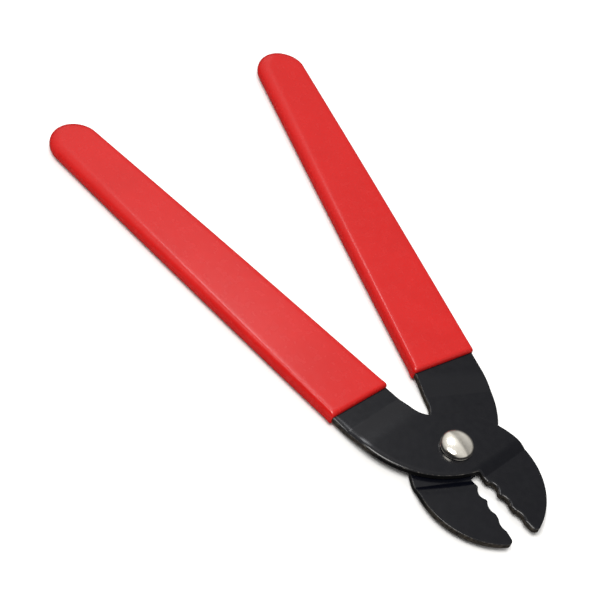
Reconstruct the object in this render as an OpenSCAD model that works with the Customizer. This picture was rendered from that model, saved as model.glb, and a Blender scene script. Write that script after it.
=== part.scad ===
// Riveted plate pliers with wavy jaws and dipped vinyl grips.
// Two bent plate levers cross at one domed rivet. The front lever lies on top at the
// pivot, the rear lever below it, and both step back to one middle plane at the jaws
// and at the handles. Each lever is drawn closed, with the tool's long axis on X and
// the rivet's axis on Z, then turned by half of the opening angle.
// The origin is the centre of the rivet's tail face, which is the lowest face.

/* [Opening] */
// angle between the two levers as stored, measured from closed
open_angle = 13.5; // [0:0.5:28]
// gap between the jaw edges when the pliers are closed
jaw_gap = 0.5; // [0.3:0.1:1]

/* [Lever plate] */
// thickness of the lever plate
plate_t = 2.5; // [2:0.1:3]
// running gap between the two plates at the pivot
face_gap = 0.2; // [0.1:0.05:0.4]
// length of the steep step down to the middle plane at the jaw
jaw_ramp = 2.4; // [2:0.1:2.6]
// length of the gentle step down to the middle plane at the neck
neck_ramp = 6.5; // [3:0.5:7]

/* [Jaws] */
// radius of the round that makes the back of the jaw
jaw_r = 28; // [27:0.5:29]
// rounding of the jaw tip
tip_r = 1.8; // [1:0.1:2.5]
// rounding of the cusps between the notches
cusp_r = 1; // [0.6:0.1:1.2]

/* [Handles] */
// radius of the handle's round end
handle_r = 9.35; // [8:0.05:10]
// distance from the rivet to the centre of the handle's round end
handle_reach = 175.2; // [150:0.2:190]
// fillet at the crotch between the neck and the pivot round
crotch_r = 8.5; // [7:0.5:9.5]

/* [Grips] */
// overall thickness of the vinyl grip
grip_t = 6.2; // [5:0.1:7]
// rounding along the edges of the grip
grip_edge_r = 2; // [0.8:0.1:2.4]
// distance from the rivet to the open end of the grip
grip_start = 33; // [31:0.5:36]
// how much nearer to the rivet the grip's open end lies along its inner edge
mouth_slant = 1.1; // [0:0.1:2]
// thickness of vinyl over the edges of the handle plate
grip_wall = 1.8; // [1.4:0.1:2.2]

/* [Rivet] */
// radius of the rivet's domed head
head_r = 5.9; // [5:0.1:7]
// height of the domed head
head_h = 3.3; // [3.1:0.1:3.6]
// radius of the rivet's shank
shank_r = 3; // [2.5:0.1:4]
// radial running clearance of the front lever on the shank
shank_fit = 0.05; // [0.02:0.01:0.1]
// radius of the peened tail
tail_r = 4.9; // [4.2:0.1:6]
// height of the peened tail
tail_h = 1.4; // [1:0.1:2]

/* [Hidden] */
$fn = 96;

black_coat = [0.13, 0.13, 0.14];
red_vinyl = [0.82, 0.12, 0.10];
nickel = [0.78, 0.76, 0.72];

half = plate_t / 2;
// level of the plate's middle at the pivot, measured from the middle plane
pivot_level = (plate_t + face_gap) / 2;
// height of the middle plane above the tail face
mid_z = plate_t + face_gap / 2 + tail_h;
// gap under the rivet's head
head_gap = 0.15;

// back of the jaw: a round that also bounds the far side of the pivot
jaw_c = [12.7, -6.7];
edge_y = jaw_gap / 2;
// outer side of the neck: a round that also bounds the throat
neck_c = [-23.5, 9];

// grip outline: two lines through these points, tangent to the round end
grip_in = [-grip_start, -2.2];
grip_out = [-grip_start, -28.4];
end_c = [-handle_reach, -26.5];

function dist(p, q) = norm(p - q);
function dir(a) = [cos(a), sin(a)];
// direction from p to q, from 0 to 360 degrees
function bearing(p, q) = (atan2(q[1] - p[1], q[0] - p[0]) + 360) % 360;
function arc(c, r, a0, a1, n) = [for (i = [0:n]) c + r * dir(a0 + (a1 - a0) * i / n)];
// point at x on the line through p in direction a
function on_line(p, a, x) = p + (x - p[0]) / cos(a) * dir(a);
// outline without points that fall on their neighbour
function clean(pts) = [
    for (i = [0:len(pts) - 1]) if (dist(pts[i], pts[(i + 1) % len(pts)]) > 0.01) pts[i]];

// directions of the two grip lines, pointing to the round end
in_dir = bearing(grip_in, end_c) - asin(handle_r / dist(grip_in, end_c));
out_dir = bearing(grip_out, end_c) + asin(handle_r / dist(grip_out, end_c));
in_norm = dir(in_dir - 90);
out_norm = dir(out_dir + 90);

// the neck's visible edges lie this far inside the grip outline
neck_inset = 0.8;
// the tang inside the grip begins this far past the grip's open end
tang_step = 2.5;
back_x = -grip_start - tang_step;
neck_in = grip_in - neck_inset * in_norm;
neck_out = grip_out - neck_inset * out_norm;
// radius that makes the neck round tangent to the neck's outer line
neck_r = (neck_c - neck_out) * -out_norm;

// centre of the crotch fillet, tangent to the neck's inner line and the jaw round
fil_base = neck_in + crotch_r * in_norm - jaw_c;
fil_dot = fil_base * dir(in_dir);
fil_run = -fil_dot + sqrt(pow(fil_dot, 2) - fil_base * fil_base + pow(jaw_r + crotch_r, 2));
fil_c = jaw_c + fil_base + fil_run * dir(in_dir);

// centre of the throat fillet, tangent to the neck round and the jaw edge
throat_r = 1;
throat_y = edge_y - throat_r;
throat_c = [neck_c[0] + sqrt(pow(neck_r + throat_r, 2) - pow(throat_y - neck_c[1], 2)), throat_y];

// centre of the rounding at the jaw tip
tip_y = edge_y + tip_r;
tip_c = [jaw_c[0] + sqrt(pow(jaw_r - tip_r, 2) - pow(tip_y - jaw_c[1], 2)), tip_y];

// jaw notches: position of the middle, half pitch between cusps, depth
NOTCHES = [[18.6, 3.1, 1.4], [24.6, 2.9, 0.9], [31.8, 2.8, 0.7]];

// edge of one notch with its rounded shoulders, from right to left
function notch(mid, half_pitch, depth) = let (
    r = (pow(half_pitch, 2) + pow(depth, 2)) / (2 * depth) - cusp_r,
    turn = asin(half_pitch / (r + cusp_r)),
    lift = [0, edge_y + cusp_r],
    left = [mid - half_pitch, 0] + lift,
    right = [mid + half_pitch, 0] + lift)
    concat(
        arc(right, cusp_r, -90, -90 - turn, 5),
        arc([mid, edge_y + depth - r], r, 90 - turn, 90 + turn, 12),
        arc(left, cusp_r, turn - 90, -90, 5));

// jaw edge with all its notches, from the tip to the throat
jaw_edge = [for (i = [len(NOTCHES) - 1:-1:0]) each notch(NOTCHES[i][0], NOTCHES[i][1], NOTCHES[i][2])];

// outline of the handle past x = back_x, a given distance inside the grip, outer side first
function tail(inset) = concat(
    [on_line(grip_out - inset * out_norm, out_dir, back_x)],
    arc(end_c, handle_r - inset, out_dir + 90, in_dir - 90, 28),
    [on_line(grip_in - inset * in_norm, in_dir, back_x)]);

// neck edges where they meet a given x
function neck_outer(x) = on_line(neck_out, out_dir, x);
function neck_inner(x) = on_line(neck_in, in_dir, x);

// blank of one lever, closed, with the jaw to the right and the handle to the left
module blank() {
    linear_extrude(20, center = true) polygon(clean(concat(
        arc(tip_c, tip_r, bearing(jaw_c, tip_c), -90, 12),
        jaw_edge,
        arc(throat_c, throat_r, 90, bearing(throat_c, neck_c), 8),
        arc(neck_c, neck_r, bearing(neck_c, throat_c), out_dir + 90, 30),
        [neck_outer(back_x)],
        tail(grip_wall),
        [neck_inner(back_x)],
        arc(fil_c, crotch_r, in_dir + 90, bearing(fil_c, jaw_c), 12),
        arc(jaw_c, jaw_r, bearing(jaw_c, fil_c), bearing(jaw_c, tip_c), 50))));
}

// side view of the bent plate, swept across the lever along the bend lines
module bent_sheet(tilt, neck_bend, jaw_bend) {
    rotate([0, 0, tilt]) rotate([90, 0, 0]) linear_extrude(160, center = true) polygon([
        [-220, -half],
        [neck_bend, -half],
        [neck_bend + neck_ramp, pivot_level - half],
        [jaw_bend - jaw_ramp, pivot_level - half],
        [jaw_bend, -half],
        [60, -half],
        [60, half],
        [jaw_bend, half],
        [jaw_bend - jaw_ramp, pivot_level + half],
        [neck_bend + neck_ramp, pivot_level + half],
        [neck_bend, half],
        [-220, half]]);
}

// one lever about the middle plane, raised at the pivot, with its rivet hole
module lever(tilt, neck_bend, jaw_bend, hole_r) {
    difference() {
        intersection() {
            blank();
            bent_sheet(tilt, neck_bend, jaw_bend);
        }
        cylinder(h = 20, r = hole_r, center = true);
    }
}

// section across the grip, flat from x = inner to the rounded edge at x = edge
module edge_section(inner, edge) {
    reach = grip_t / 2 - grip_edge_r;
    polygon(concat(
        [[inner, grip_t / 2]],
        arc([edge - grip_edge_r, reach], grip_edge_r, 90, 0, 8),
        arc([edge - grip_edge_r, -reach], grip_edge_r, 0, -90, 8),
        [[inner, -grip_t / 2]]));
}

// long block whose one rounded edge lies on the line through p in direction a
module edge_block(p, a, side) {
    translate([p[0], p[1], 0]) rotate([0, 0, a]) mirror([0, side, 0])
        translate([-20, 0, 0]) rotate([90, 0, 90]) linear_extrude(200) edge_section(-60, 0);
}

// vinyl grip about the middle plane, with the pocket for the lever's tang
module grip() {
    mouth_x = -grip_start + 3;
    difference() {
        union() {
            intersection() {
                linear_extrude(grip_t + 2, center = true) polygon([
                    end_c,
                    end_c + handle_r * in_norm,
                    on_line(grip_in, in_dir, -grip_start + mouth_slant),
                    on_line(grip_out, out_dir, -grip_start),
                    end_c + handle_r * out_norm]);
                edge_block(grip_in, in_dir, 1);
                edge_block(grip_out, out_dir, 0);
            }
            translate([end_c[0], end_c[1], 0])
                rotate_extrude(start = in_dir - 90, angle = out_dir - in_dir + 180)
                edge_section(0, handle_r);
        }
        linear_extrude(plate_t, center = true) polygon(concat(
            [neck_outer(mouth_x), neck_outer(back_x)],
            tail(grip_wall),
            [neck_inner(back_x), neck_inner(mouth_x)]));
    }
}

// front side: as drawn, opened by half the angle
module front_side() {
    translate([0, 0, mid_z]) rotate([0, 0, open_angle / 2]) children();
}

// rear side: the same shape turned over about the tool's long axis
module rear_side() {
    translate([0, 0, mid_z]) rotate([180, 0, 0]) rotate([0, 0, open_angle / 2]) children();
}

// lever on top at the pivot; its bends lie square to the closed tool
module front_lever() {
    color(black_coat) front_side() lever(0, -26, 14, shank_r + shank_fit);
}

// lever below at the pivot; its bends lie at a slant
module rear_lever() {
    color(black_coat) rear_side() lever(13.5, -29, 15, shank_r);
}

module front_grip() {
    color(red_vinyl) front_side() grip();
}

module rear_grip() {
    color(red_vinyl) rear_side() grip();
}

// rivet: domed head over the front lever, shank, peened tail under the rear lever
module pivot_rivet() {
    seat_z = mid_z + pivot_level + half + head_gap;
    rim_r = 1.4;
    rim_c = [head_r - rim_r, 1.3];
    drop = head_h - rim_c[1];
    // sphere of the dome, tangent to the rounded rim
    dome_r = (pow(rim_c[0], 2) + pow(drop, 2) - pow(rim_r, 2)) / (2 * (drop - rim_r));
    dome_c = [0, head_h - dome_r];
    lean = asin(rim_c[0] / (dome_r - rim_r));
    color(nickel) {
        translate([0, 0, seat_z]) rotate_extrude() polygon(concat(
            [[0, 0], [head_r, 0]],
            arc(rim_c, rim_r, 0, 90 - lean, 8),
            arc(dome_c, dome_r, 90 - lean, 90, 8)));
        translate([0, 0, tail_h]) cylinder(h = seat_z - tail_h, r = shank_r);
        cylinder(h = tail_h, r1 = tail_r - 0.6, r2 = tail_r);
    }
}

front_lever();
rear_lever();
pivot_rivet();
front_grip();
rear_grip();
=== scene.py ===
"""Riveted plate pliers with wavy jaws and red dipped vinyl grips."""

import math

import bmesh
import bpy
import numpy as np
from mathutils import Matrix, Vector
from mathutils.geometry import delaunay_2d_cdt


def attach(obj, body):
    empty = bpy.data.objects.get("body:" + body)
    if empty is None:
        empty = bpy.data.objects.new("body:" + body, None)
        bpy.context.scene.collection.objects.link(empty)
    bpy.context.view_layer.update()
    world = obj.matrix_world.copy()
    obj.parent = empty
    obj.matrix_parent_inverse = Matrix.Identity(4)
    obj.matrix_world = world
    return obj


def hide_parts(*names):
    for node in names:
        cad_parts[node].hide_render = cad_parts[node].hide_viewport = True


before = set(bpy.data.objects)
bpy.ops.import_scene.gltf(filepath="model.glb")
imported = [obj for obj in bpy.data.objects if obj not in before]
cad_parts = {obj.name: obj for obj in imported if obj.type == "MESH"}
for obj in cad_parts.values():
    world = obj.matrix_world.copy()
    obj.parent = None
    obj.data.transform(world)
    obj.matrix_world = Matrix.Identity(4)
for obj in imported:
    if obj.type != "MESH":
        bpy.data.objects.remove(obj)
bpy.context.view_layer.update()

MM = 0.001

# The pliers' dimensions, in millimetres and degrees. The lever lies with its rivet at the origin,
# its jaw towards +X and its handle towards -X.
OPEN_ANGLE = 13.5
PLATE_T = 2.5
FACE_GAP = 0.2
HALF = PLATE_T / 2
# How far each lever's middle lies over or under the middle plane, at the rivet
PIVOT_LEVEL = (PLATE_T + FACE_GAP) / 2

# Jaw: gap between the shut edges, then the rounds of its back, tip, throat and cusps
JAW_GAP = 0.5
EDGE_Y = JAW_GAP / 2
JAW_C = np.array([12.7, -6.7])
JAW_R = 28.0
TIP_R = 1.8
THROAT_R = 1.0
CUSP_R = 1.0
# Each notch of the edge: its middle, half its width and its depth
NOTCHES = ((18.6, 3.1, 1.4), (24.6, 2.9, 0.9), (31.8, 2.8, 0.7))

# Handle: its round end, the grip with the two ends of its mouth, the neck and the step to the tang
HANDLE_R = 9.35
END_C = np.array([-175.2, -26.5])
GRIP_START = 33.0
GRIP_IN = np.array([-GRIP_START, -2.2])
GRIP_OUT = np.array([-GRIP_START, -28.4])
GRIP_T = 6.2
GRIP_WALL = 1.8
GRIP_BULGE = 0.35
MOUTH_SLANT = 1.1
NECK_C = np.array([-23.5, 9.0])
NECK_INSET = 0.8
CROTCH_R = 8.5
TANG_STEP = 2.5
BACK_X = -GRIP_START - TANG_STEP

# Bends: length of the ramps, and tilt of the bend lines, neck's bend and jaw's bend of each lever
JAW_RAMP = 2.4
NECK_RAMP = 6.5
FRONT_BENDS = (0, -26, 14)
REAR_BENDS = (OPEN_ANGLE, -29, 15)
# Rounding inside every bend, outside the bends towards the ends, and outside those towards the rivet
BEND_CRISP = 0.35
BEND_SOFT = 2.2
NECK_SOFT = 3.2
JAW_SOFT = 2.2

# Rivet: domed head, shank and peened tail
HEAD_R = 5.9
HEAD_H = 3.3
HEAD_GAP = 0.15
SHANK_R = 3.0
SHANK_FIT = 0.05
TAIL_R = 4.9
TAIL_H = 1.4
MID_Z = PLATE_T + FACE_GAP / 2 + TAIL_H


def direction(a):
    """Unit vector at an angle of a degrees."""
    return np.array([math.cos(math.radians(a)), math.sin(math.radians(a))])


def bearing(p, q):
    """Direction from p to q, in degrees."""
    return math.degrees(math.atan2(q[1] - p[1], q[0] - p[0])) % 360


def arc(c, r, a0, a1, step):
    """Points on a round from a0 to a1, no further than step apart."""
    n = max(4, math.ceil(abs(math.radians(a1 - a0)) * r / step))
    return [np.asarray(c) + r * direction(a0 + (a1 - a0) * i / n) for i in range(n + 1)]


def on_line(p, a, x):
    """Point at x on the line through p with direction a."""
    return p + (x - p[0]) / math.cos(math.radians(a)) * direction(a)


# Directions of the handle's two sides, their outward normals, and the neck's edge a little inside them
IN_DIR = bearing(GRIP_IN, END_C) - math.degrees(math.asin(HANDLE_R / np.linalg.norm(END_C - GRIP_IN)))
OUT_DIR = bearing(GRIP_OUT, END_C) + math.degrees(math.asin(HANDLE_R / np.linalg.norm(END_C - GRIP_OUT)))
IN_NORM = direction(IN_DIR - 90)
OUT_NORM = direction(OUT_DIR + 90)
NECK_IN = GRIP_IN - NECK_INSET * IN_NORM
NECK_OUT = GRIP_OUT - NECK_INSET * OUT_NORM
NECK_R = -float((NECK_C - NECK_OUT) @ OUT_NORM)


def notch(mid, half_pitch, depth):
    """One notch of the jaw's edge between two cusps, from the tip's side to the rivet's."""
    cusp_step, bowl_step = 0.16, 0.3
    r = (half_pitch ** 2 + depth ** 2) / (2 * depth) - CUSP_R
    turn = math.degrees(math.asin(half_pitch / (r + CUSP_R)))
    return (arc((mid + half_pitch, EDGE_Y + CUSP_R), CUSP_R, -90, -90 - turn, cusp_step)
            + arc((mid, EDGE_Y + depth - r), r, 90 - turn, 90 + turn, bowl_step)
            + arc((mid - half_pitch, EDGE_Y + CUSP_R), CUSP_R, turn - 90, -90, cusp_step))


def thin(points, rims):
    """The outline without points that fall on their neighbour."""
    least = 0.03
    keep = [i for i in range(len(points))
            if np.linalg.norm(points[i] - points[(i + 1) % len(points)]) > least]
    return np.array([points[i] for i in keep]), np.array([rims[i] for i in keep])


def split_long(points, rims, step):
    """The outline with its long straight stretches cut into steps."""
    pts, out = [], []
    for i in range(len(points)):
        p, q = points[i], points[(i + 1) % len(points)]
        n = max(1, math.ceil(np.linalg.norm(q - p) / step))
        for k in range(n):
            pts.append(p + (q - p) * k / n)
            out.append(rims[i] + (rims[(i + 1) % len(points)] - rims[i]) * k / n)
    return np.array(pts), np.array(out)


def lever_outline():
    """The lever's outline, clockwise from the jaw's tip, with the die roll's width at each point."""
    # The crotch's round touches the neck's inner edge and the jaw's back
    base = NECK_IN + CROTCH_R * IN_NORM - JAW_C
    dot = float(base @ direction(IN_DIR))
    run = -dot + math.sqrt(dot ** 2 - float(base @ base) + (JAW_R + CROTCH_R) ** 2)
    crotch_c = JAW_C + base + run * direction(IN_DIR)
    throat_y = EDGE_Y - THROAT_R
    throat_c = np.array([
        NECK_C[0] + math.sqrt((NECK_R + THROAT_R) ** 2 - (throat_y - NECK_C[1]) ** 2), throat_y])
    tip_y = EDGE_Y + TIP_R
    tip_c = np.array([JAW_C[0] + math.sqrt((JAW_R - TIP_R) ** 2 - (tip_y - JAW_C[1]) ** 2), tip_y])
    tang_r = HANDLE_R - GRIP_WALL
    fine, jaw_rim, broad = 0.3, 0.8, 2.4
    neck_round = arc(NECK_C, NECK_R, bearing(NECK_C, throat_c), OUT_DIR + 90, 0.8)
    stretches = [(arc(tip_c, TIP_R, bearing(JAW_C, tip_c), -90, 0.25), jaw_rim)]
    for n in reversed(NOTCHES):
        stretches.append((notch(*n), jaw_rim))
    stretches += [
        (arc(throat_c, THROAT_R, 90, bearing(throat_c, NECK_C), 0.16), jaw_rim),
        (neck_round, np.linspace(jaw_rim, broad, len(neck_round))),
        ([on_line(NECK_OUT, OUT_DIR, BACK_X)], broad),
        ([on_line(GRIP_OUT - GRIP_WALL * OUT_NORM, OUT_DIR, BACK_X)], fine),
        (arc(END_C, tang_r, OUT_DIR + 90, IN_DIR - 90, 0.8), fine),
        ([on_line(GRIP_IN - GRIP_WALL * IN_NORM, IN_DIR, BACK_X)], fine),
        ([on_line(NECK_IN, IN_DIR, BACK_X)], fine),
        (arc(crotch_c, CROTCH_R, IN_DIR + 90, bearing(crotch_c, JAW_C), 0.5), fine),
        (arc(JAW_C, JAW_R, bearing(JAW_C, crotch_c), bearing(JAW_C, tip_c), 0.8), fine)]
    points = [p for pts, _ in stretches for p in pts]
    rims = np.concatenate([np.broadcast_to(r, len(pts)) for pts, r in stretches])
    points, rims = thin(points, rims)
    points, rims = split_long(points, rims, 1.5)
    # The width changes gradually, as the mean of its neighbours' within reach
    reach = 5
    kernel = np.ones(2 * reach + 1) / (2 * reach + 1)
    rims = np.convolve(np.concatenate([rims[-reach:], rims, rims[:reach]]), kernel, "valid")
    # The roll stays fine along the tang and widens with a slope from the tang's step
    slope, margin = 1.1, 0.3
    return points, np.minimum(rims, fine + slope * np.maximum(points[:, 0] - BACK_X - margin, 0))


def inward(points):
    """Vector into a clockwise outline at each point, as long as keeps an offset at its distance."""
    def normals(v):
        return np.stack([v[:, 1], -v[:, 0]], 1) / np.linalg.norm(v, axis=1)[:, None]

    before = normals(points - np.roll(points, 1, axis=0))
    after = normals(np.roll(points, -1, axis=0) - points)
    middle = before + after
    middle /= np.linalg.norm(middle, axis=1)[:, None]
    least_cosine = 0.6
    return middle / np.maximum((middle * before).sum(1), least_cosine)[:, None]


def ring_faces(bm, a, b):
    """Quads between two loops of the same length."""
    n = len(a)
    for i in range(n):
        bm.faces.new((a[i], a[(i + 1) % n], b[(i + 1) % n], b[i]))


def loop_verts(bm, points, z):
    """Vertices over the points, at one height or at a height each."""
    z = np.broadcast_to(z, len(points))
    return [bm.verts.new((p[0], p[1], h)) for p, h in zip(points, z)]


def cap(bm, outer, hole, up):
    """Flat cap between an outer loop of vertices and a round hole about the axis."""
    verts = list(outer) + list(hole)
    n, m = len(outer), len(hole)
    edges = [(i, (i + 1) % n) for i in range(n)] + [(n + i, n + (i + 1) % m) for i in range(m)]
    inside_edges = 1
    flat = [v.co.xy for v in verts]
    _, _, tris, origin, _, _ = delaunay_2d_cdt(flat, edges, [], inside_edges, 1e-7)
    hole_r = flat[-1].length
    for t in tris:
        ids = [origin[i][0] for i in t]
        middle = (flat[ids[0]] + flat[ids[1]] + flat[ids[2]]) / 3
        if middle.length > hole_r:
            tri = [verts[i] for i in ids]
            bm.faces.new(tri if up else tri[::-1])


def corner_height(s, at, soft):
    """Rise past a bend of unit slope at one place, rounded over soft to both sides."""
    x = (s - at) / soft
    if x >= 1:
        return s - at
    return soft * (x + 1) ** 2 / 4 if x > -1 else 0.0


def step_height(s, neck_bend, jaw_bend, upper):
    """Height of the bent sheet's face at s along the lever: a bend is soft outside and crisp inside."""
    if upper:
        neck_soft, jaw_soft, end_soft = NECK_SOFT, JAW_SOFT, BEND_CRISP
    else:
        neck_soft, jaw_soft, end_soft = BEND_CRISP, BEND_CRISP, BEND_SOFT
    neck = (corner_height(s, neck_bend, end_soft)
            - corner_height(s, neck_bend + NECK_RAMP, neck_soft)) / NECK_RAMP
    jaw = (corner_height(s, jaw_bend, end_soft)
           - corner_height(s, jaw_bend - JAW_RAMP, jaw_soft)) / JAW_RAMP
    return (neck + jaw) * PIVOT_LEVEL


def bend_cuts(neck_bend, jaw_bend):
    """Places of the cross cuts that let the faces follow the bends."""
    cuts = set()
    for at, soft in ((neck_bend, BEND_SOFT), (neck_bend + NECK_RAMP, NECK_SOFT),
                     (jaw_bend - JAW_RAMP, JAW_SOFT), (jaw_bend, BEND_SOFT)):
        cuts.update(round(at + soft * k / 6, 3) for k in range(-7, 8))
        cuts.update(round(at + BEND_CRISP * k / 3, 3) for k in range(-3, 4))
    return sorted(cuts)


def bore_loops(bm, hole_r):
    """Loops of vertices down the rivet's bore, with both of its edges broken."""
    sides = 72
    ledge, broken, nick = 0.4, 0.16, 0.05
    levels = [(ledge, HALF), (broken, HALF), (nick, HALF - nick), (0, HALF - broken)]
    levels += [(wide, -z) for wide, z in reversed(levels)]
    return [loop_verts(bm, [(hole_r + wide) * direction(-360 * i / sides) for i in range(sides)], z)
            for wide, z in levels]


def lever(name, bends, hole_r, place):
    """One stamped lever: plate with a die-rolled top rim, sharp lower rim and two bends."""
    points, rims = lever_outline()
    into = inward(points)
    low_rim, ledge = 0.28, 0.12
    # The roll gets deeper with its width, slower past the jaw's width of 0.8
    depth = 0.2 + 0.38 * np.minimum(rims, 0.8) + 0.14 * np.maximum(rims - 0.8, 0)
    bm = bmesh.new()
    edge_layer = bm.verts.layers.float.new("edge")
    turns = [k * 90 / 8 for k in range(9)]
    # Loops from the top's face down the wall to the lower face, with 0 for a face and 1 for the wall
    loops = [(points + into * (rims + ledge)[:, None], HALF, 0)]
    for a in turns:
        c, s = direction(a)
        steep = np.degrees(np.arctan2(depth * s, rims * c)) / 90
        loops.append((points + into * (rims * (1 - s))[:, None], HALF - depth * (1 - c), steep))
    loops.append((points, HALF - depth - ledge, 1))
    loops.append((points, -HALF + low_rim + 0.1, 1))
    for a in turns[::-2]:
        c, s = direction(a)
        loops.append((points + into * low_rim * (1 - s), -HALF + low_rim * (1 - c), a / 90))
    loops.append((points + into * (low_rim + ledge), -HALF, 0))
    rings = []
    for pts, z, edge in loops:
        ring = loop_verts(bm, pts, z)
        for v, e in zip(ring, np.broadcast_to(edge, len(ring))):
            v[edge_layer] = e
        rings.append(ring)
    bore = bore_loops(bm, hole_r)
    for chain in (rings, bore):
        for a, b in zip(chain, chain[1:]):
            ring_faces(bm, a, b)
    cap(bm, rings[0], bore[0], True)
    cap(bm, rings[-1], bore[-1], False)
    bend(bm, *bends)
    bmesh.ops.triangulate(bm, faces=[f for f in bm.faces if len(f.verts) > 4])
    return finished(bm, name, place)


def bend(bm, tilt, neck_bend, jaw_bend):
    """Bends a flat lever across the direction of tilt, at its neck and at its jaw."""
    normal = Vector((*direction(tilt), 0))
    for s in bend_cuts(neck_bend, jaw_bend):
        bmesh.ops.bisect_plane(bm, geom=bm.verts[:] + bm.edges[:] + bm.faces[:],
                               dist=0.002, plane_co=normal * s, plane_no=normal)
    for v in bm.verts:
        s = v.co.dot(normal)
        part = min(1, max(0, (v.co.z + HALF) / PLATE_T))
        v.co.z += (part * step_height(s, neck_bend, jaw_bend, True)
                   + (1 - part) * step_height(s, neck_bend, jaw_bend, False))


def finished(bm, name, place, smooth=True):
    """Object in metres from a mesh in millimetres, set in place."""
    bmesh.ops.transform(bm, matrix=Matrix.Scale(MM, 4) @ place, verts=bm.verts)
    bmesh.ops.recalc_face_normals(bm, faces=bm.faces)
    mesh = bpy.data.meshes.new(name)
    bm.to_mesh(mesh)
    bm.free()
    if smooth:
        mesh.shade_smooth()
    obj = bpy.data.objects.new(name, mesh)
    bpy.context.scene.collection.objects.link(obj)
    return obj


def side_place(rear):
    """Place of the front side's lever, or of the rear side's, which is the same turned over."""
    turn = Matrix.Rotation(math.radians(OPEN_ANGLE / 2), 4, "Z")
    flip = Matrix.Rotation(math.pi, 4, "X") if rear else Matrix.Identity(4)
    return Matrix.Translation((0, 0, MID_Z)) @ flip @ turn


def grip_ring(inner_side, outer_side, mouth, tip):
    """The grip's outline moved in: each side by its distances at mouth and tip, mouth and tip by theirs."""
    corner_r = 0.9
    mouth_steps, end_steps, side_steps = 24, 64, 110
    along = GRIP_OUT - GRIP_IN - np.array([MOUTH_SLANT, 0])
    mouth_n = np.array([-along[1], along[0]]) / np.linalg.norm(along)
    mouth_at = math.degrees(math.atan2(mouth_n[1], mouth_n[0]))

    def corner(p, a, n, side):
        """Centre of the round between a side's line and the mouth's line."""
        start, u = p - (side + corner_r) * n, direction(a)
        reach = float((GRIP_OUT - start) @ mouth_n) - mouth - corner_r
        return start + u * reach / float(u @ mouth_n)

    def side(p, q, n):
        """Points between two ends of a slightly bulged side."""
        ks = np.arange(1, side_steps) / side_steps
        return [p + (q - p) * k + GRIP_BULGE * math.sin(math.pi * k) * n for k in ks]

    inner = corner(GRIP_IN, IN_DIR, IN_NORM, inner_side[0])
    outer = corner(GRIP_OUT, OUT_DIR, OUT_NORM, outer_side[0])
    inner_corner = arc(inner, corner_r, IN_DIR - 90, mouth_at, corner_r)
    outer_corner = arc(outer, corner_r, mouth_at, OUT_DIR + 90 - 360, corner_r)
    across = [inner_corner[-1] + (outer_corner[0] - inner_corner[-1]) * k / mouth_steps
              for k in range(1, mouth_steps)]
    sweep = IN_DIR - OUT_DIR - 180
    blend = np.linspace(0, 1, end_steps + 1)
    inset = np.interp(blend, (0, 0.3, 0.7, 1), (outer_side[1], tip, tip, inner_side[1]))
    end = [END_C + (HANDLE_R - d) * direction(OUT_DIR + 90 + sweep * k) for k, d in zip(blend, inset)]
    return np.array(inner_corner + across + outer_corner + side(outer_corner[-1], end[0], OUT_NORM)
                    + end + side(end[-1], inner_corner[0], IN_NORM))


def grip(name, place, rounds):
    """Dipped vinyl grip: rounded sides, pillowed tip and a crisp lip at the mouth.

    rounds holds how far in the rounding reaches at the mouth and at the tip, for the upper inner,
    upper outer, lower inner and lower outer edge.
    """
    top = GRIP_T / 2
    # Half the straight wall's height along the sides and at the lip, and how far in the lip reaches
    wall, lip_wall, lip_reach = 0.25, HALF + 0.1, 2.4
    mouth_r, mouth_flat, tip_r, flat_from = 1.3, 3.8, 4.6, 7.6
    steps = 12
    bm = bmesh.new()
    halves = []
    for sign, inner_r, outer_r in ((1, rounds[0], rounds[1]), (-1, rounds[2], rounds[3])):
        inner_r, outer_r = np.array(inner_r), np.array(outer_r)
        rings = []
        for k in range(steps + 1):
            c, s = direction(90 * k / steps)
            ring = grip_ring(*(r * (1 - c) for r in (inner_r, outer_r, mouth_r, tip_r)))
            lip = np.clip((ring[:, 0] + GRIP_START + lip_reach) / lip_reach, 0, 1)
            height = top - wall - (lip_wall - wall) * lip
            rings.append(loop_verts(bm, ring, sign * (top - (1 - s) * height)))
        reaches = ((inner_r, flat_from), (outer_r, flat_from), (mouth_r, mouth_flat), (tip_r, flat_from))
        for part in (0.25, 0.5, 0.75, 1):
            ring = grip_ring(*(r + (flat - r) * part for r, flat in reaches))
            rings.append(loop_verts(bm, ring, sign * top))
        for a, b in zip(rings, rings[1:]):
            ring_faces(bm, a, b)
        bm.faces.new(rings[-1])
        halves.append(rings)
    ring_faces(bm, halves[0][0], halves[1][0])
    bmesh.ops.triangulate(bm, faces=[f for f in bm.faces if len(f.verts) > 4])
    return finished(bm, name, place)


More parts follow.
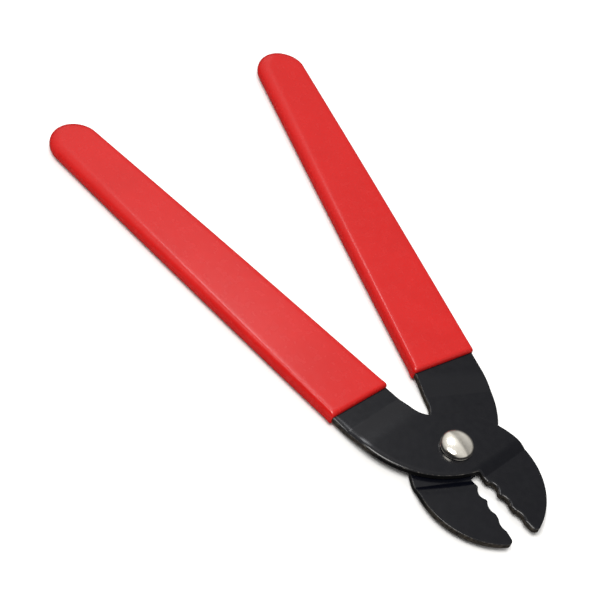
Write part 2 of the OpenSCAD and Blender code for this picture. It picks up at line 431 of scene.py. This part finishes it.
def pocket(grip_obj, place):
    """Opens the grip for the lever's neck and tang, a little larger than they are."""
    gap, past_mouth, end_step = 0.07, 3, 1.0
    mouth_x, back_x = -GRIP_START + past_mouth, BACK_X - gap
    tang = GRIP_WALL - gap
    neck = NECK_INSET - gap

    def outer(x, inset):
        return on_line(GRIP_OUT - inset * OUT_NORM, OUT_DIR, x)

    def inner(x, inset):
        return on_line(GRIP_IN - inset * IN_NORM, IN_DIR, x)

    outline = [outer(mouth_x, neck), outer(back_x, neck), outer(back_x, tang)]
    outline += arc(END_C, HANDLE_R - tang, OUT_DIR + 90, IN_DIR - 90, end_step)
    outline += [inner(back_x, tang), inner(back_x, neck), inner(mouth_x, neck)]
    bm = bmesh.new()
    low = loop_verts(bm, outline, -HALF - gap)
    high = loop_verts(bm, outline, HALF + gap)
    ring_faces(bm, low, high)
    bm.faces.new(high)
    bm.faces.new(low[::-1])
    tool = finished(bm, "pocket", place, smooth=False)
    cut = grip_obj.modifiers.new("pocket", "BOOLEAN")
    cut.operation = "DIFFERENCE"
    cut.solver = "EXACT"
    cut.object = tool
    bpy.context.view_layer.update()
    made = bpy.data.meshes.new_from_object(
        grip_obj.evaluated_get(bpy.context.evaluated_depsgraph_get()))
    grip_obj.modifiers.clear()
    grip_obj.data = made
    bpy.data.objects.remove(tool)


def lathe(name, profile, steps, place):
    """Turned piece about Z from (radius, height) points; the ends on the axis close it."""
    bm = bmesh.new()
    rings = []
    for r, z in profile:
        if r == 0:
            rings.append([bm.verts.new((0, 0, z))])
        else:
            rings.append([bm.verts.new((*(r * direction(360 * i / steps)), z)) for i in range(steps)])
    for a, b in zip(rings, rings[1:]):
        for i in range(steps):
            j = (i + 1) % steps
            if len(a) == 1:
                bm.faces.new((a[0], b[i], b[j]))
            elif len(b) == 1:
                bm.faces.new((a[i], a[j], b[0]))
            else:
                bm.faces.new((a[i], a[j], b[j], b[i]))
    return finished(bm, name, place)


def rivet(name):
    """Rivet in one piece: domed head with a thin foot rim, shank, peened tail."""
    seat = MID_Z + PIVOT_LEVEL + HALF + HEAD_GAP
    dome_r, dome_z = HEAD_R - 0.12, 1.25
    low_r = TAIL_R - 0.6
    sides = 128
    head = [(0, HEAD_H)]
    for a in np.linspace(0, 90, 46)[1:]:
        c, s = direction(a)
        head.append((dome_r * s, dome_z + (HEAD_H - dome_z) * c))
    foot = [(dome_r, 0.5), (HEAD_R - 0.1, 0.42), (HEAD_R - 0.02, 0.36), (HEAD_R, 0.28), (HEAD_R, 0.12),
            (HEAD_R - 0.03, 0.04), (dome_r, 0), (HEAD_R - 0.3, 0)]
    shank = [(SHANK_R + 0.1, seat), (SHANK_R, seat), (SHANK_R, seat - 0.1),
             (SHANK_R, TAIL_H + 0.1), (SHANK_R, TAIL_H), (SHANK_R + 0.1, TAIL_H)]
    tail = [(TAIL_R - 0.2, TAIL_H), (TAIL_R - 0.06, TAIL_H - 0.03), (TAIL_R, TAIL_H - 0.12),
            (TAIL_R - 0.03, TAIL_H - 0.4), (low_r + 0.3, 0.42), (low_r + 0.12, 0.18),
            (low_r - 0.1, 0.04), (low_r - 0.35, 0), (low_r - 0.6, 0)]
    dimple = [(1.3, 0), (1.0, 0.06), (0.5, 0.14), (0, 0.16)]
    profile = [(r, seat + z) for r, z in head + foot] + shank + tail + dimple
    return lathe(name, profile, sides, Matrix.Identity(4))


# ---- materials ----

class Nodes:
    """Short way to add and join the shader nodes of a material or a world."""

    def __init__(self, owner):
        owner.use_nodes = True
        self.owner = owner
        self.tree = owner.node_tree

    def add(self, kind, **settings):
        node = self.tree.nodes.new(kind)
        for key, value in settings.items():
            setattr(node, key, value)
        return node

    def give(self, value, socket):
        """Joins an output to the socket, or sets the socket to a number or colour."""
        if isinstance(value, bpy.types.NodeSocket):
            self.tree.links.new(value, socket)
        elif isinstance(value, tuple) and len(socket.default_value) == 4:
            socket.default_value = (*value, 1)
        else:
            socket.default_value = value

    def surface(self, **values):
        """Gives the surface shader's sockets their values."""
        shader = self.tree.nodes["Principled BSDF"]
        for key, value in values.items():
            self.give(value, shader.inputs[key.replace("_", " ")])

    def place(self, output="Object"):
        """The shaded point's place in its object, or another output of the texture coordinates."""
        return self.add("ShaderNodeTexCoord").outputs[output]

    def noise(self, at, scale, detail=4.0, roughness=0.5):
        node = self.add("ShaderNodeTexNoise")
        for key, value in (("Vector", at), ("Scale", scale), ("Detail", detail), ("Roughness", roughness)):
            self.give(value, node.inputs[key])
        return node.outputs["Fac"]

    def ramp(self, fac, stops):
        """Colour ramp through stops of a place and a grey or colour."""
        node = self.add("ShaderNodeValToRGB")
        while len(node.color_ramp.elements) < len(stops):
            node.color_ramp.elements.new(0.5)
        for element, (at, value) in zip(node.color_ramp.elements, stops):
            element.position = at
            element.color = (*(value if isinstance(value, tuple) else (value,) * 3), 1)
        self.give(fac, node.inputs["Fac"])
        return node.outputs["Color"]

    def math(self, operation, *values):
        node = self.add("ShaderNodeMath", operation=operation)
        for value, socket in zip(values, node.inputs):
            self.give(value, socket)
        return node.outputs[0]

    def mix(self, fac, a, b, blend="MIX"):
        node = self.add("ShaderNodeMix", data_type="RGBA", blend_type=blend)
        for value, index in ((fac, 0), (a, 6), (b, 7)):
            self.give(value, node.inputs[index])
        return node.outputs[2]

    def bump(self, height, strength, distance):
        node = self.add("ShaderNodeBump")
        for key, value in (("Height", height), ("Strength", strength), ("Distance", distance)):
            self.give(value, node.inputs[key])
        return node.outputs["Normal"]

    def along_x(self, at, low, high):
        """0 to 1 as the point's x goes from low to high, in metres."""
        split = self.add("ShaderNodeSeparateXYZ")
        self.give(at, split.inputs[0])
        node = self.add("ShaderNodeMapRange")
        for key, value in (("Value", split.outputs["X"]), ("From Min", low), ("From Max", high)):
            self.give(value, node.inputs[key])
        return node.outputs["Result"]


def black_coat():
    """Semi-gloss black coat on stamped steel, worn to brown-grey on the sheared edges.

    The mesh's edge value is 0 on the faces, rises through the rim and is 1 on the sheared wall.
    The walls are bare brown-grey along the handle's neck and the jaw, and darker around the rivet.
    """
    n = Nodes(bpy.data.materials.new("black_coat"))
    at = n.place()
    edge = n.add("ShaderNodeAttribute", attribute_name="edge").outputs["Fac"]
    patch = n.noise(at, 900, 5, 0.6)
    fine = n.noise(at, 5200, 3, 0.6)
    face = n.ramp(n.noise(at, 160, 3), ((0.3, (0.0008, 0.0011, 0.0030)), (0.75, (0.0015, 0.0018, 0.0040))))
    bare = n.ramp(patch, ((0.35, (0.008, 0.0065, 0.005)), (0.7, (0.050, 0.041, 0.031))))
    # Walls are darker near the rivet, between about x = -10 and 12 mm, and bare towards the neck and the
    # jaw
    bare_away_from_rivet = n.ramp(n.along_x(at, -0.013, 0.016), ((0, 1), (0.12, 0), (0.85, 0), (1, 1)))
    sheared = n.mix(bare_away_from_rivet, (0.0015, 0.0015, 0.0018), bare)
    # Worn chips on the rims, made pale enough to also paint glints along the edges
    worn = n.ramp(fine, ((0.35, (0.05, 0.045, 0.04)), (0.7, (0.30, 0.28, 0.25))))
    on_wall = n.ramp(edge, ((0.78, 0), (0.95, 1)))
    rim = n.ramp(edge, ((0.35, 0), (0.6, 1), (0.88, 1), (0.97, 0)))
    chips_and_glints = n.math("MULTIPLY", rim, n.ramp(patch, ((0.48, 0), (0.62, 0.55))))
    # Lighter grey line along every rim: partly rubbed coat, partly a painted edge highlight
    rubbed_rim_and_highlight = n.mix(n.math("MULTIPLY", rim, 0.5), face, (0.040, 0.040, 0.042))
    gloss = n.ramp(n.noise(at, 420, 4), ((0.3, 0.19), (0.7, 0.25)))
    torn = n.math("MULTIPLY", n.math("MULTIPLY", fine, on_wall), 1.6)
    n.surface(Base_Color=n.mix(chips_and_glints, n.mix(on_wall, rubbed_rim_and_highlight, sheared), worn),
              Roughness=n.mix(on_wall, gloss, (0.5, 0.5, 0.5)),
              Specular_IOR_Level=0.33,
              Normal=n.bump(n.math("ADD", n.noise(at, 1300, 2), torn), 0.06, 0.00003))
    return n.owner


def red_vinyl():
    """Satin dipped vinyl with faint ripples and a soft glow."""
    n = Nodes(bpy.data.materials.new("red_vinyl"))
    at = n.place()
    tone = n.ramp(n.noise(at, 60, 3), ((0.3, (0.465, 0.006, 0.005)), (0.7, (0.495, 0.007, 0.006))))
    speck = n.ramp(n.noise(at, 2600, 3), ((0.60, 0), (0.72, 0.08)))
    ripple = n.math("ADD", n.noise(at, 120, 2), n.math("MULTIPLY", n.noise(at, 2400, 3), 0.12))
    n.surface(Base_Color=n.mix(speck, tone, (0.40, 0.004, 0.004)),
              Roughness=n.ramp(n.noise(at, 300, 4), ((0.3, 0.23), (0.7, 0.29))),
              Subsurface_Weight=0.12,
              Subsurface_Radius=(1.0, 0.25, 0.2),
              Subsurface_Scale=0.0008,
              Specular_IOR_Level=0.41,
              Normal=n.bump(ripple, 0.10, 0.0001))
    return n.owner


def nickel():
    """Polished nickel plate with fine wear marks."""
    n = Nodes(bpy.data.materials.new("nickel"))
    at = n.place()
    tone = n.ramp(n.noise(at, 500, 4), ((0.3, (0.80, 0.76, 0.68)), (0.7, (0.90, 0.87, 0.80))))
    n.surface(Base_Color=tone,
              Metallic=1.0,
              Roughness=n.ramp(n.noise(at, 1500, 4), ((0.3, 0.13), (0.75, 0.24))),
              Normal=n.bump(n.noise(at, 900, 3), 0.03, 0.00003))
    return n.owner


def floor_paper():
    """Plain pale studio paper."""
    n = Nodes(bpy.data.materials.new("floor_paper"))
    n.surface(Base_Color=n.ramp(n.noise(n.place(), 40, 3), ((0.3, 0.90), (0.7, 0.92))),
              Roughness=0.9,
              Specular_IOR_Level=0.1)
    return n.owner


def put(obj, body, node, material):
    """Gives a piece its material and its body, and hides the node that it stands for."""
    obj.data.materials.clear()
    obj.data.materials.append(material)
    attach(obj, body)
    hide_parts(node)


def build_object():
    """The pliers: two levers, their grips and the rivet."""
    black, red, silver = black_coat(), red_vinyl(), nickel()
    front, rear = side_place(False), side_place(True)
    put(lever("front_lever_plate", FRONT_BENDS, SHANK_R + SHANK_FIT, front),
        "front_side", "front_lever", black)
    put(lever("rear_lever_plate", REAR_BENDS, SHANK_R, rear),
        "rear_side", "rear_lever", black)
    # Reach of an edge's rounding at the mouth and at the tip
    crisp, soft, full = (1.3, 1.7), (1.5, 4.4), (3.0, 3.0)
    for name, place, body, node, rounds in (
            ("front_vinyl_grip", front, "front_side", "front_grip", (crisp, soft, full, full)),
            ("rear_vinyl_grip", rear, "rear_side", "rear_grip", (full, full, soft, crisp))):
        piece = grip(name, place, rounds)
        pocket(piece, place)
        put(piece, body, node, red)
    put(rivet("domed_rivet"), "rear_side", "pivot_rivet", silver)


# ---- studio ----

def floor():
    """Pale flat floor, a grid of squares in metres."""
    bm = bmesh.new()
    half, cells = 1.6, 16
    ticks = [(i / cells - 0.5) * 2 * half for i in range(cells + 1)]
    rows = [[bm.verts.new((x, y, 0)) for y in ticks] for x in ticks]
    for a, b in zip(rows, rows[1:]):
        for j in range(cells):
            bm.faces.new((a[j], b[j], b[j + 1], a[j + 1]))
    mesh = bpy.data.meshes.new("floor")
    bm.to_mesh(mesh)
    bm.free()
    obj = bpy.data.objects.new("floor", mesh)
    bpy.context.scene.collection.objects.link(obj)
    obj.data.materials.append(floor_paper())
    obj.visible_glossy = False


def area_light(name, towards, distance, size, power, colour):
    """Rectangular light that faces the rivet from a direction."""
    light = bpy.data.lights.new(name, "AREA")
    light.shape = "RECTANGLE"
    light.size, light.size_y = size
    light.energy = power
    light.color = colour
    obj = bpy.data.objects.new(name, light)
    obj.location = Vector(towards).normalized() * distance
    obj.rotation_euler = (-obj.location).to_track_quat("-Z", "Y").to_euler()
    bpy.context.scene.collection.objects.link(obj)


def sky(layers, tint):
    """Soft room light: a tint times grades of brightness, each along its own axis from -1 to 1."""
    world = bpy.data.worlds.new("studio")
    bpy.context.scene.world = world
    n = Nodes(world)
    towards = n.place("Generated")
    light = tint
    for axis, stops in layers:
        dot = n.add("ShaderNodeVectorMath", operation="DOT_PRODUCT")
        n.give(towards, dot.inputs[0])
        dot.inputs[1].default_value = Vector(axis).normalized()
        height = n.math("MULTIPLY_ADD", dot.outputs["Value"], 0.5, 0.5)
        grade = n.ramp(height, [((at + 1) / 2, value) for at, value in stops])
        light = n.mix(1, light, grade, "MULTIPLY")
    n.give(light, n.tree.nodes["Background"].inputs["Color"])


def studio():
    """Large soft light from above, a small one for the glints, and a graded room."""
    warm, cool = (1, 0.985, 0.96), (0.95, 0.97, 1)
    area_light("key_box", (0.05, -0.38, 0.92), 1.2, (0.55, 0.50), 13.5, warm)
    area_light("glint_box", (-0.48, 0.20, 0.85), 0.5, (0.13, 0.13), 0.42, cool)
    back_wall = ((-1, 0.35), (-0.6, 0.45), (-0.3, 0.7), (0, 0.9), (0.3, 1.1), (0.42, 1.08), (0.475, 1.10),
                 (0.51, 0.78), (0.535, 0.50), (0.555, 0.36), (0.64, 0.44), (0.8, 0.66))
    side_walls = ((-1, 0.6), (-0.7, 0.96), (-0.55, 1.03), (-0.4, 1), (-0.3, 0.94), (0, 0.76),
                  (0.44, 0.70), (1, 0.65))
    below = ((-0.12, 0.12), (0.05, 0.35), (0.3, 1))
    dark_corner = ((0.75, 1), (0.92, 0.12))
    sky((((0, 1, 0), back_wall), ((1, 0, 0), side_walls), ((0, 0, 1), below),
         ((0.35, -0.9, 0.25), dark_corner)), warm)


def camera():
    """Camera high on the jaw side, a little rolled."""
    data = bpy.data.cameras.new("camera")
    data.sensor_width = 36
    data.lens = 117
    data.clip_start = 0.01
    data.clip_end = 20
    obj = bpy.data.objects.new("camera", data)
    place = Vector((0.1972, -0.3615, 0.5282))
    right = Vector((0.56609, 0.79085, 0.23258))
    up = Vector((-0.72182, 0.33929, 0.60321))
    back = right.cross(up).normalized()
    up = back.cross(right).normalized()
    turn = Matrix((right.normalized(), up, back)).transposed()
    obj.matrix_world = Matrix.Translation(place) @ turn.to_4x4()
    bpy.context.scene.collection.objects.link(obj)
    bpy.context.scene.camera = obj


camera()
build_object()
floor()
studio()
bpy.context.scene.view_settings.view_transform = "Standard"
bpy.context.scene.view_settings.look = "None"
